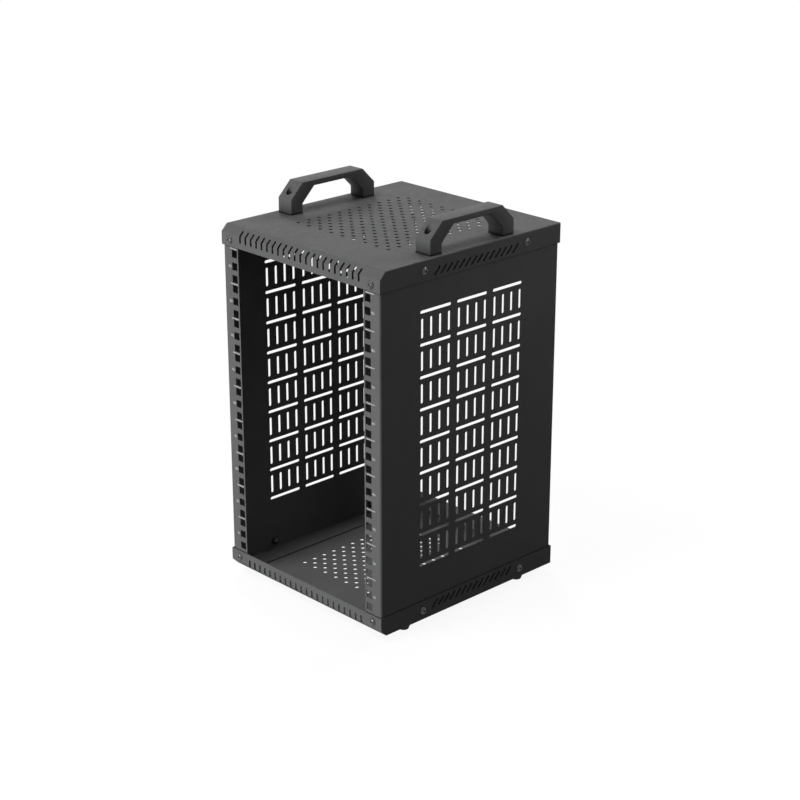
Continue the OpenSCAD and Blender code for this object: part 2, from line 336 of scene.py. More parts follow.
@dataclass(frozen=True)
class PowderCoat:
    """Matt powder coat: a fine pebbled skin, clouded a little, with shade painted darker into its colour
    in narrow recesses.

    Attributes:
        drift: share by which the clouds differ in tone.
        cloud: size of a cloud.
        mottles: patches of like gloss across a cloud.
        gloss: lowest and highest roughness.
        edge: radius that the sheet's edges seem to have.
        recess: how far the occlusion test looks for walls that cast the painted shade.
        recess_room: open share of the view where the painted shade is darkest, and where it is gone.
        recess_tone: share of the colour that is kept where the painted shade is darkest.
    """

    name: str
    colour: Colour
    drift: float = 0.05
    cloud: float = 60 * MM
    mottles: int = 9
    gloss: tuple[float, float] = (0.64, 0.78)
    specular: float = 0.06
    pebble: float = 0.55 * MM
    pebble_h: float = 0.018 * MM
    grain: float = 0.16 * MM
    grain_h: float = 0.005 * MM
    edge: float = 0.22 * MM
    edge_rays: int = 4
    recess: float = 3.5 * MM
    recess_rays: int = 8
    recess_room: tuple[float, float] = (0.45, 0.95)
    recess_tone: float = 0.12

    def make(self) -> Material:
        """Builds the material: clouded colour darkened by painted shade in recesses, mottled gloss,
        pebbles, grain and softened edges.

        Returns:
            The coat.
        """
        tree = ShaderTree(self.name)
        shader = tree.add("ShaderNodeBsdfPrincipled", {"Specular IOR Level": self.specular})
        # Painted shade: the base colour is darkened in slots, holes and corners by an occlusion test.
        painted_shade = self.painted_shade(tree)
        tree.tint(tree.noise(self.cloud, detail=4), self.colour, self.drift, painted_shade, "Vector")
        tree.join(painted_shade, "Vector", shader, "Base Color")
        tree.spread(tree.noise(self.cloud / self.mottles, detail=3), *self.gloss, shader, "Roughness")
        edge = tree.add("ShaderNodeBevel", {"Radius": self.edge}, samples=self.edge_rays)
        pebbles = tree.bump(tree.noise(self.pebble, detail=1), self.pebble_h, edge)
        grain = tree.bump(tree.noise(self.grain, detail=0), self.grain_h, pebbles)
        tree.join(grain, "Normal", shader, "Normal")
        return tree.surface(shader)

    def painted_shade(self, tree: ShaderTree) -> ShaderNode:
        """Adds the node that paints shade into the colour in recesses, darker where walls stand close.

        Args:
            tree: the material's tree.

        Returns:
            The node that takes the full colour and gives it darkened by the painted shade.
        """
        narrow, wide = self.recess_room
        # Painted shade: ambient occlusion scales the colour down where walls stand within reach.
        room = tree.add("ShaderNodeAmbientOcclusion", {"Distance": self.recess}, samples=self.recess_rays)
        ends = {"From Min": narrow, "From Max": wide, "To Min": self.recess_tone}
        tone = tree.add("ShaderNodeMapRange", ends)
        tree.join(room, "AO", tone, "Value")
        painted_shade = tree.add("ShaderNodeVectorMath", operation="SCALE")
        tree.join(tone, "Result", painted_shade, "Scale")
        return painted_shade


@dataclass(frozen=True)
class BlackSteel:
    """Blackened steel of the screws and the nuts, with a thin oily sheen.

    Attributes:
        drift: share by which the patches differ in tone.
        patch: size of a patch of like tone.
        gloss: lowest and highest roughness.
        gloss_patch: size of a patch of like gloss.
        turning: size of the grain that the tool leaves.
    """

    name: str
    colour: Colour
    drift: float = 0.18
    patch: float = 1.6 * MM
    gloss: tuple[float, float] = (0.22, 0.3)
    gloss_patch: float = 0.8 * MM
    specular: float = 0.5
    turning: float = 0.25 * MM
    turning_h: float = 0.004 * MM

    def make(self) -> Material:
        """Builds the material: patchy black, uneven gloss and a fine turned grain.

        Returns:
            The steel.
        """
        tree = ShaderTree(self.name)
        shader = tree.add("ShaderNodeBsdfPrincipled", {"Specular IOR Level": self.specular})
        tree.tint(tree.noise(self.patch, detail=3), self.colour, self.drift, shader)
        tree.spread(tree.noise(self.gloss_patch, detail=2), *self.gloss, shader, "Roughness")
        relief = tree.bump(tree.noise(self.turning, detail=1), self.turning_h, None)
        tree.join(relief, "Normal", shader, "Normal")
        return tree.surface(shader)


@dataclass(frozen=True)
class MouldedRubber:
    """Dull black rubber with a dusty bloom and a fine mould texture.

    Attributes:
        bloom: share by which the dusty patches differ in tone.
        patch: size of a dusty patch.
        gloss: lowest and highest roughness.
    """

    name: str
    colour: Colour
    bloom: float = 0.25
    patch: float = 4 * MM
    gloss: tuple[float, float] = (0.68, 0.86)
    specular: float = 0.3
    grain: float = 0.3 * MM
    grain_h: float = 0.02 * MM

    def make(self) -> Material:
        """Builds the material: dusty black, dull gloss and mould grain.

        Returns:
            The rubber.
        """
        tree = ShaderTree(self.name)
        shader = tree.add("ShaderNodeBsdfPrincipled", {"Specular IOR Level": self.specular})
        tree.tint(tree.noise(self.patch, detail=5, rough=0.6), self.colour, self.bloom, shader)
        tree.spread(tree.noise(self.patch, detail=2), *self.gloss, shader, "Roughness")
        relief = tree.bump(tree.noise(self.grain, detail=1), self.grain_h, None)
        tree.join(relief, "Normal", shader, "Normal")
        return tree.surface(shader)


@dataclass(frozen=True)
class ScreenInk:
    """Pale screen-printed ink, a little thinner in places.

    Attributes:
        thin: share by which thin and thick ink differ in tone.
        patch: size of a patch of like ink.
        gloss: lowest and highest roughness.
    """

    name: str
    colour: Colour
    thin: float = 0.1
    patch: float = 0.8 * MM
    gloss: tuple[float, float] = (0.45, 0.6)
    specular: float = 0.2

    def make(self) -> Material:
        """Builds the material: uneven pale ink with an uneven gloss.

        Returns:
            The ink.
        """
        tree = ShaderTree(self.name)
        shader = tree.add("ShaderNodeBsdfPrincipled", {"Specular IOR Level": self.specular})
        film = tree.noise(self.patch, detail=3)
        tree.tint(film, self.colour, self.thin, shader)
        tree.spread(film, *self.gloss, shader, "Roughness")
        return tree.surface(shader)


GRAPHITE = PowderCoat("graphite_powder_coat", colour=(0.124, 0.125, 0.127))
HANDLE_COAT = PowderCoat("handle_satin_coat", colour=(0.121, 0.122, 0.124), gloss=(0.58, 0.7),
                         pebble=0.35 * MM, pebble_h=0.009 * MM)
SCREW_BLACK = BlackSteel("blackened_screws", colour=(0.06, 0.06, 0.062))
NUT_BLACK = BlackSteel("blackened_nuts", colour=(0.07, 0.07, 0.072), gloss=(0.5, 0.62), specular=0.12)
FOOT_RUBBER = MouldedRubber("foot_rubber", colour=(0.016, 0.016, 0.017))
RAIL_INK = ScreenInk("rail_ink", colour=(0.5, 0.5, 0.5))


@dataclass
class Turning:
    """A closed body made of rings of points round Z, each plain round or of another outline."""

    sides: int
    rings: list[RingPoint] = field(default_factory=list)

    def ring(self, radius: float, height: float) -> None:
        """Adds a plain round ring."""
        self.rings.append(lambda angle: (radius, height))

    def outline(self, point: RingPoint) -> None:
        """Adds a ring whose radius and height follow the angle."""
        self.rings.append(point)

    def skin(self, bm: BMesh, place: Matrix, tube: bool = False) -> None:
        """Skins the rings in order and closes the body.

        Args:
            bm: the mesh that takes the body.
            place: where the body's Z axis goes.
            tube: joins the last ring to the first, where the body has a bore. Otherwise a
                flat face closes each end.
        """
        angles = [2 * math.pi * k / self.sides for k in range(self.sides)]
        loops = []
        for point in self.rings:
            spots = [(angle, *point(angle)) for angle in angles]
            corners = [Vector((r * math.cos(a), r * math.sin(a), z)) for a, r, z in spots]
            loops.append([bm.verts.new(place @ corner) for corner in corners])
        pairs = list(zip(loops, loops[1:]))
        if tube:
            pairs.append((loops[-1], loops[0]))
        for low, high in pairs:
            for k in range(self.sides):
                after = (k + 1) % self.sides
                bm.faces.new((low[k], low[after], high[after], high[k]))
        if not tube:
            bm.faces.new(reversed(loops[0]))
            bm.faces.new(loops[-1])


def hexagon(across: float) -> Callable[[float], float]:
    """Gives the radius of a hexagon at an angle.

    Args:
        across: width across the flats.

    Returns:
        A function from angle to radius, with a corner at angle 0.
    """
    sector = math.pi / 3

    def radius(angle: float) -> float:
        """Radius at one angle."""
        return across / 2 / math.cos(angle % sector - sector / 2)

    return radius


@dataclass
class SubAssembly:
    """A group of pieces that builds and dresses itself."""

    def build(self) -> list[Object]:
        """Builds the group's pieces."""
        raise NotImplementedError

    def piece(self, name: str, bm: BMesh, material: Material, slot: Slot | None, *nodes: str) -> Object:
        """Makes a dressed piece that rides on the frame.

        Args:
            name: the piece's name.
            bm: its mesh, which is used up.
            material: its finish.
            slot: the record's slot for the piece's finish, if it has one; not used.
            nodes: the nodes that it stands for.

        Returns:
            The new object.
        """
        bmesh.ops.recalc_face_normals(bm, faces=bm.faces)
        mesh = bpy.data.meshes.new(name)
        bm.to_mesh(mesh)
        bm.free()
        mesh.materials.append(material)
        mesh.shade_smooth()
        mesh.set_sharp_from_angle(angle=SMOOTH_ANGLE)
        made = bpy.data.objects.new(name, mesh)
        bpy.context.scene.collection.objects.link(made)
        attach(made, BODY)
        if nodes:
            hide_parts(*nodes)
        return made


@dataclass
class SheetMetal(SubAssembly):
    """The folded cover, tray and side panels, which keep their own meshes."""

    nodes: tuple[str, ...] = ("top_cover", "bottom_tray", "left_side_panel", "right_side_panel")
    finish: PowderCoat = GRAPHITE

    def build(self) -> list[Object]:
        """Coats the four sheets.

        Returns:
            The sheets' own objects.
        """
        coat = self.finish.make()
        sheets = [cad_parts[node] for node in self.nodes]
        for sheet in sheets:
            sheet.data.materials.clear()
            sheet.data.materials.append(coat)
        return sheets


@dataclass
class CarryHandles(SubAssembly):
    """The two angular bridge handles, with their edges eased.

    Attributes:
        ease: width of the eased edges.
        ease_profile: roundness of the eased edges, where 0.5 is an arc.
        flat: angle up to which two faces count as one.
        sharp: angle from which an edge is eased.
    """

    ease: float = 0.35 * MM
    ease_steps: int = 3
    ease_profile: float = 0.5
    flat: float = math.radians(1)
    sharp: float = math.radians(25)
    finish: PowderCoat = HANDLE_COAT

    def build(self) -> list[Object]:
        """Builds both handles.

        Returns:
            The left and the right handle.
        """
        coat = self.finish.make()
        return [self.handle(side, coat) for side in Side]

    def handle(self, side: Side, coat: Material) -> Object:
        """Eases the edges of one handle.

        Args:
            side: which handle.
            coat: its finish.

        Returns:
            The handle that stands for the plain one.
        """
        node = side.word + "_handle"
        bm = welded(node)
        bmesh.ops.dissolve_limit(bm, angle_limit=self.flat, verts=bm.verts, edges=bm.edges)
        edges = [edge for edge in bm.edges if edge.calc_face_angle(0) > self.sharp]
        bmesh.ops.bevel(bm, geom=edges, offset=self.ease, segments=self.ease_steps,
                        profile=self.ease_profile, affect="EDGES", clamp_overlap=True)
        return self.piece(side.word + "_carry_handle", bm, coat, Slot.HANDLE, node)


@dataclass
class Thread:
    """A screw thread as rings of a turning."""

    pitch: float = 0.8 * MM
    depth: float = 0.42 * MM
    rings_per_turn: int = 8

    def cut(self, body: Turning, radius: float, start: float, end: float) -> None:
        """Adds the rings of a thread from its tip up.

        Args:
            body: the turning that takes the rings.
            radius: radius over the thread's crests.
            start: height of the tip.
            end: height where the thread has run out.
        """
        count = round((end - start) / self.pitch * self.rings_per_turn)
        for k in range(count + 1):
            height = start + (end - start) * k / count
            lead = min(height - start, end - height) / self.pitch
            body.outline(self.crest(radius, height, min(1.0, lead)))

    def crest(self, radius: float, height: float, lead: float) -> RingPoint:
        """Gives one ring of the thread.

        Args:
            radius: radius over the crests.
            height: the ring's height.
            lead: 0 at the chamfered tip and at the run-out, 1 where the thread is full.

        Returns:
            The ring's radius and height at an angle.
        """
        def point(angle: float) -> tuple[float, float]:
            """Gives the ring's point at one angle.

            Args:
                angle: the angle round the axis.

            Returns:
                Radius and height.
            """
            phase = (height / self.pitch - angle / (2 * math.pi)) % 1
            rise = 1 - abs(2 * phase - 1)
            return radius - self.depth + self.depth * min(rise, lead), height

        return point


@dataclass
class DomedScrews(SubAssembly):
    """The low domed socket screws in the flanges of the cover and the tray.

    Attributes:
        shank: length under the head.
        rim: height at which the dome starts.
        under: width of the eased edge under the head.
        neck: plain length between the thread and the head.
        key: width of the key socket across its flats.
        key_lead: width of the lead-in at the socket's mouth.
        drill_r: radius of the drilled cone in the socket's floor.
        drill_tip_r: radius of the flat at the cone's tip.
        drill_depth: depth of the cone.
    """

    shells: tuple[str, ...] = ("cover", "tray")
    shank: float = 8 * MM
    head_h: float = 2.75 * MM
    rim: float = 0.4 * MM
    under: float = 0.12 * MM
    neck: float = 1.2 * MM
    key: float = 3 * MM
    key_depth: float = 1.5 * MM
    key_lead: float = 0.18 * MM
    drill_r: float = 1.35 * MM
    drill_tip_r: float = 0.15 * MM
    drill_depth: float = 0.12 * MM
    shank_r: float = 2.5 * MM
    dome_rings: int = 8
    sides: int = 48
    thread: Thread = field(default_factory=Thread)
    finish: BlackSteel = SCREW_BLACK

    def build(self) -> list[Object]:
        """Builds a pair of screws for each face of the cover and the tray.

        Returns:
            One piece for each pair.
        """
        black = self.finish.make()
        return [self.pair(shell, face, black) for shell in self.shells for face in Face]

    def pair(self, shell: str, face: Face, black: Material) -> Object:
        """Builds the screws of one flange.

        Args:
            shell: cover or tray.
            face: the flange's face.
            black: the screws' finish.

        Returns:
            The pair as one piece.
        """
        node = f"{shell}_{face.word}_screws"
        turn = UP.rotation_difference(face.outward).to_matrix().to_4x4()
        bm = bmesh.new()
        for box in solids_of(node):
            seat = box.end(-face.outward) + face.outward * self.shank
            head_r = max(side for side, way in zip(box.size, face.outward) if not way) / 2
            self.screw(head_r).skin(bm, Matrix.Translation(seat) @ turn)
        return self.piece(f"{shell}_{face.word}_socket_screws", bm, black, Slot.SCREW, node)

    def screw(self, head_r: float) -> Turning:
        """Turns one screw, with the seat of its head at height 0.

        Args:
            head_r: radius of the head.

        Returns:
            The screw's rings from the tip to the floor of its socket.
        """
        body = Turning(self.sides)
        self.thread.cut(body, self.shank_r, -self.shank, -self.neck)
        body.ring(self.shank_r - self.thread.depth, 0)
        body.ring(head_r - self.under, 0)
        body.ring(head_r, self.under)
        for k in range(self.dome_rings + 1):
            body.outline(self.dome(head_r, k / self.dome_rings))
        self.socket(body)
        return body

    def dome(self, head_r: float, share: float) -> RingPoint:
        """Gives a ring of the dome that goes over from the round rim to the socket's hexagon.

        Args:
            head_r: radius of the head.
            share: 0 at the rim, 1 at the socket.

        Returns:
            The ring's radius and height at an angle.
        """
        rise = self.head_h - self.rim
        ball = (head_r ** 2 + rise ** 2) / (2 * rise)
        mouth = hexagon(self.key + 2 * self.key_lead)

        def point(angle: float) -> tuple[float, float]:
            """Radius and height at one angle."""
            radius = head_r + (mouth(angle) - head_r) * share
            return radius, self.head_h - ball + math.sqrt(ball ** 2 - radius ** 2)

        return point

    def socket(self, body: Turning) -> None:
        """Adds the key socket, with a lead-in at its mouth and a drilled floor.

        Args:
            body: the turning that takes the socket's rings.
        """
        wall = hexagon(self.key)
        floor = self.head_h - self.key_depth
        for height in (self.head_h - 2 * self.key_lead, floor):
            body.outline(lambda angle, height=height: (wall(angle), height))
        body.ring(self.drill_r, floor)
        body.ring(self.drill_tip_r, floor - self.drill_depth)


@dataclass
class CapScrews(SubAssembly):
    """The socket cap screws deep in the handles' legs.

    Attributes:
        head_edge: width of the eased edge on top of the head.
        neck: plain length between the thread and the head.
        key: width of the key socket across its flats.
        key_lead: width and depth of the lead-in at the socket's mouth.
    """

    head_h: float = 5 * MM
    head_edge: float = 0.35 * MM
    neck: float = 2 * MM
    key: float = 4 * MM
    key_depth: float = 2.5 * MM
    key_lead: float = 0.2 * MM
    shank_r: float = 2.5 * MM
    sides: int = 48
    thread: Thread = field(default_factory=Thread)
    finish: BlackSteel = SCREW_BLACK

    def build(self) -> list[Object]:
        """Builds the screws of both handles.

        Returns:
            One piece for each handle.
        """
        black = self.finish.make()
        return [self.pair(side, black) for side in Side]

    def pair(self, side: Side, black: Material) -> Object:
        """Builds the two screws of one handle.

        Args:
            side: which handle.
            black: the screws' finish.

        Returns:
            The pair as one piece.
        """
        node = side.word + "_handle_screws"
        bm = bmesh.new()
        for box in solids_of(node):
            seat = box.end(UP) - UP * self.head_h
            length = (box.end(-UP) - seat).length
            self.screw(length, box.size.x / 2).skin(bm, Matrix.Translation(seat))
        return self.piece(side.word + "_handle_cap_screws", bm, black, Slot.SCREW, node)

    def screw(self, length: float, head_r: float) -> Turning:
        """Turns one screw, with the seat of its head at height 0.

        Args:
            length: length of the shank.
            head_r: radius of the head.

        Returns:
            The screw's rings from the tip to the floor of its socket.
        """
        body = Turning(self.sides)
        self.thread.cut(body, self.shank_r, -length, -self.neck)
        body.ring(self.shank_r - self.thread.depth, 0)
        body.ring(head_r, 0)
        body.ring(head_r, self.head_h - self.head_edge)
        body.ring(head_r - self.head_edge, self.head_h)
        wall = hexagon(self.key)
        mouth = hexagon(self.key + 2 * self.key_lead)
        floor = self.head_h - self.key_depth
        body.outline(lambda angle: (mouth(angle), self.head_h))
        body.outline(lambda angle: (wall(angle), self.head_h - self.key_lead))
        body.outline(lambda angle: (wall(angle), floor))
        return body


@dataclass
class FrameNuts(SubAssembly):
    """The round press nuts on the panels and the hexagon nuts below the handles.

    Attributes:
        bore_lead: width and depth of the lead-in at both mouths of the bore.
        edge: width of the eased edge of a press nut.
        collar_step: how far a press nut's collar stands out.
        hex_face: width of a hexagon nut's round face, as a share of the width across its flats.
        hex_crown: depth of the crowned corners.
        crown_slope: angle of the crown's cone from the nut's axis.
    """

    bore_r: float = 2.6 * MM
    bore_lead: float = 0.4 * MM
    edge: float = 0.35 * MM
    collar_h: float = 0.9 * MM
    collar_step: float = 0.3 * MM
    hex_h: float = 4.7 * MM
    hex_across: float = 8 * MM
    hex_face: float = 0.97
    hex_crown: float = 0.55 * MM
    crown_slope: float = math.radians(60)
    crown_steps: int = 5
    sides: int = 48
    finish: BlackSteel = NUT_BLACK

    def build(self) -> list[Object]:
        """Builds every group of nuts.

        Returns:
            One piece for each group.
        """
        black = self.finish.make()
        pieces = []
        for side in Side:
            pieces.append(self.press_nuts(side, "front", Face.REAR.outward, black))
            pieces.append(self.press_nuts(side, "rear", Face.FRONT.outward, black))
            pieces.append(self.press_nuts(side, "side", Vector((-side.value, 0, 0)), black))
            pieces.append(self.hex_nuts(side, black))
        return pieces

    def press_nuts(self, side: Side, fold: str, inward: Vector, black: Material) -> Object:
        """Builds the press nuts of one fold of a panel.

        Args:
            side: which panel.
            fold: the fold's name in the node.
            inward: the direction that the nuts stand out in.
            black: their finish.

        Returns:
            The group as one piece.
        """
        node = f"{side.word}_{fold}_nuts"
        turn = UP.rotation_difference(inward).to_matrix().to_4x4()
        bm = bmesh.new()
        for box in solids_of(node):
            height = (box.end(inward) - box.end(-inward)).length
            nut = self.press_nut(height, box.size.z / 2)
            nut.skin(bm, Matrix.Translation(box.end(-inward)) @ turn, tube=True)
        return self.piece(f"{side.word}_{fold}_press_nuts", bm, black, Slot.NUT, node)

    def press_nut(self, height: float, radius: float) -> Turning:
        """Turns one press nut: a collar on the sheet and a slightly slimmer barrel.

        Args:
            height: height of the nut.
            radius: radius of its collar.

        Returns:
            The nut's rings, outside up and inside down.
        """
        nut = Turning(self.sides)
        barrel = radius - self.collar_step
        nut.ring(radius, 0)
        nut.ring(radius, self.collar_h)
        nut.ring(barrel, self.collar_h)
        nut.ring(barrel, height - self.edge)
        nut.ring(barrel - self.edge, height)
        self.bore(nut, 0, height)
        return nut

    def bore(self, nut: Turning, low: float, high: float) -> None:
        """Adds the bore of a nut from its upper mouth to its lower one.

        Args:
            nut: the turning that takes the bore's rings.
            low: height of the lower mouth.
            high: height of the upper mouth.
        """
        nut.ring(self.bore_r + self.bore_lead, high)
        nut.ring(self.bore_r, high - self.bore_lead)
        nut.ring(self.bore_r, low + self.bore_lead)
        nut.ring(self.bore_r + self.bore_lead, low)

    def hex_nuts(self, side: Side, black: Material) -> Object:
        """Builds the two nuts below one handle.

        Args:
            side: which handle.
            black: their finish.

        Returns:
            The pair as one piece.
        """
        node = side.word + "_handle_nuts"
        bm = bmesh.new()
        for box in solids_of(node):
            self.hex_nut().skin(bm, Matrix.Translation(box.end(-UP)), tube=True)
        return self.piece(side.word + "_handle_hex_nuts", bm, black, Slot.NUT, node)

    def hex_nut(self) -> Turning:
        """Cuts one hexagon nut with crowned corners.

        Returns:
            The nut's rings, outside up and inside down.
        """
        nut = Turning(self.sides)
        depths = [self.hex_crown * k / self.crown_steps for k in range(self.crown_steps + 1)]
        for depth in depths:
            nut.outline(self.crown(depth, depth))
        for depth in reversed(depths):
            nut.outline(self.crown(depth, self.hex_h - depth))
        self.bore(nut, 0, self.hex_h)
        return nut

    def crown(self, depth: float, height: float) -> RingPoint:
        """Gives one ring of a hexagon nut.

        Args:
            depth: distance from the nearer end of the nut.
            height: the ring's height.

        Returns:
            The ring's radius and height at an angle.
        """
        flats = hexagon(self.hex_across)
        cone = self.hex_across / 2 * self.hex_face + depth * math.tan(self.crown_slope)
        return lambda angle: (min(flats(angle), cone), height)


@dataclass
class RubberFeet(SubAssembly):
    """The four moulded feet under the tray.

    Attributes:
        tread_d: diameter of the tread that stands on the floor.
        collar: height of the straight collar under the tray.
        cup_d: diameter of the cone in the tread.
        cup: depth of the cone, taken to its point.
        cup_tip_r: radius of the flat that blunts the cone.
        ease: radius of the tread's outer edge.
    """

    nodes: tuple[str, ...] = ("front_left_foot", "front_right_foot", "rear_left_foot", "rear_right_foot")
    tread_d: float = 13.5 * MM
    collar: float = 5 * MM
    cup_d: float = 6 * MM
    cup: float = 1.5 * MM
    cup_tip_r: float = 0.15 * MM
    ease: float = 0.7 * MM
    ease_steps: int = 5
    sides: int = 64
    finish: MouldedRubber = FOOT_RUBBER

    def build(self) -> list[Object]:
        """Builds the four feet.

        Returns:
            One piece for each foot.
        """
        rubber = self.finish.make()
        return [self.foot(node, rubber) for node in self.nodes]

    def foot(self, node: str, rubber: Material) -> Object:
        """Moulds one foot with a hollow tread and eased edges.

        Args:
            node: the plain foot that it stands for.
            rubber: its finish.

        Returns:
            The new foot.
        """
        low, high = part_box(node)
        box = Box(low, high)
        radius, tall = box.size.x / 2, box.size.z
        tread = self.tread_d / 2
        body = Turning(self.sides)
        mouth = self.cup_d / 2
        body.ring(self.cup_tip_r, self.cup * (1 - self.cup_tip_r / mouth))
        body.ring(mouth, 0)
        for k in range(self.ease_steps + 1):
            turn = math.pi / 2 * k / self.ease_steps
            body.ring(tread - self.ease * (1 - math.sin(turn)), self.ease * (1 - math.cos(turn)))
        body.ring(radius, tall - self.collar)
        body.ring(radius, tall)
        bm = bmesh.new()
        body.skin(bm, Matrix.Translation(box.end(-UP)))
        return self.piece(node.replace("_foot", "_rubber_foot"), bm, rubber, Slot.RUBBER, node)


@dataclass
class RailPrint(SubAssembly):
    """The printed unit lines and figures on the front rails.

    Attributes:
        film: thickness of the ink.
        line_t: width of a line.
        line_spans: where the lines of the left and the right rail start and end along X.
        figure_x: distance of the figures from the middle of the frame.
        figure_drop: how far a figure's middle lies below the middle of its unit.
        figure_bold: how far the ink spreads past the letter's outline.
        figure_steps: steps along each curve of a letter.
        font_rise: height of a capital, as a share of the font's size.
    """

    units: int = 9
    unit: float = 44.45 * MM
    film: float = 0.03 * MM
    line_t: float = 1.0 * MM
    line_spans: tuple[tuple[float, float], ...] = (
        (-127.0 * MM, -113.4 * MM), (114.7 * MM, 129.2 * MM),
    )
    figure_h: float = 3.0 * MM
    figure_x: float = 127 * MM
    figure_drop: float = 0.8 * MM
    figure_bold: float = 0.12 * MM
    figure_steps: int = 4
    font_rise: float = 0.7
    finish: ScreenInk = RAIL_INK

    def build(self) -> list[Object]:
        """Prints both front rails.

        Returns:
            The left and the right print.
        """
        ink = self.finish.make()
        return [self.rail(side, span, ink) for side, span in zip(Side, self.line_spans)]

    def rail(self, side: Side, span: tuple[float, float], ink: Material) -> Object:
        """Prints one rail: a line on top of each unit and the unit's figure by its middle hole.

        Args:
            side: which rail.
            span: where the lines start and end across the frame.
            ink: the ink.

        Returns:
            The print as one piece.
        """
        low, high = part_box(side.word + "_side_panel")
        face, middle = low.y, (low.z + high.z) / 2
        bm = bmesh.new()
        for k in range(self.units):
            centre = middle + (k - (self.units - 1) / 2) * self.unit
            self.line(bm, span, face, centre + self.unit / 2)
            self.figure(bm, k + 1, Vector((side.value * self.figure_x, face, centre - self.figure_drop)))
        return self.piece(side.word + "_rail_print", bm, ink, None)

    def line(self, bm: BMesh, span: tuple[float, float], face: float, height: float) -> None:
        """Adds one printed line as a thin film on the rail.

        Args:
            bm: the print's mesh.
            span: where the line starts and ends along X.
            face: the rail's face along Y.
            height: the line's middle along Z.
        """
        place = Matrix.Translation((sum(span) / 2, face - self.film / 2, height))
        size = Matrix.Diagonal((span[1] - span[0], self.film, self.line_t, 1))
        bmesh.ops.create_cube(bm, size=1, matrix=place @ size)

    def figure(self, bm: BMesh, number: int, centre: Vector) -> None:
        """Adds one printed figure as a thin film on the rail.

        Args:
            bm: the print's mesh.
            number: the unit's number, counted from the tray up.
            centre: middle of the figure on the rail's face.
        """
        curve = bpy.data.curves.new("figure", "FONT")
        curve.body = f"{number}U"
        curve.size = self.figure_h / self.font_rise
        curve.offset = self.figure_bold
        curve.align_x = "CENTER"
        curve.align_y = "CENTER"
        curve.resolution_u = self.figure_steps
        curve.extrude = self.film / 2
        drawn = bpy.data.objects.new("figure", curve)
        mesh = bpy.data.meshes.new_from_object(drawn)
        upright = Matrix.Rotation(math.pi / 2, 4, "X")
        mesh.transform(Matrix.Translation(centre - Vector((0, self.film / 2, 0))) @ upright)
        bm.from_mesh(mesh)
        bpy.data.objects.remove(drawn)
        bpy.data.curves.remove(curve)
        bpy.data.meshes.remove(mesh)


@dataclass(frozen=True)
class SoftBox:
    """A soft lamp that looks at the middle of the rack.

    Attributes:
        azimuth: degrees from straight in front towards the rack's right.
        elevation: degrees above the level.
        level: how bright a white card looks that faces the lamp at the middle of the rack.
        size: diameter of the lamp.
        distance: how far it hangs from the middle of the rack.
    """

    name: str
    azimuth: float
    elevation: float
    level: float
    size: float
    distance: float

    def make(self, aim: Vector) -> None:
        """Hangs the lamp.

        Args:
            aim: the middle of the rack.
        """
        way = direction(self.azimuth, self.elevation)
        light = bpy.data.lights.new(self.name, "AREA")
        light.shape = "DISK"
        light.size = self.size
        light.energy = self.level * (math.pi * self.distance) ** 2
        lamp = bpy.data.objects.new(self.name, light)
        lamp.location = aim + way * self.distance
        lamp.rotation_euler = way.to_track_quat("Z", "Y").to_euler()
        lamp.visible_camera = False
        bpy.context.scene.collection.objects.link(lamp)


LAMPS = (
    SoftBox("front_low", azimuth=-8, elevation=1, level=0.76, size=0.6, distance=1.7),
    SoftBox("front_high", azimuth=-15, elevation=58, level=0.39, size=2.0, distance=5.0),
    SoftBox("behind", azimuth=180, elevation=35, level=0.36, size=2.0, distance=5.0),
    SoftBox("behind_left", azimuth=240, elevation=35, level=0.37, size=2.0, distance=5.0),
    SoftBox("behind_right", azimuth=114, elevation=40, level=0.095, size=0.16, distance=0.9),
    SoftBox("right", azimuth=60, elevation=35, level=0.03, size=2.0, distance=5.0),
)


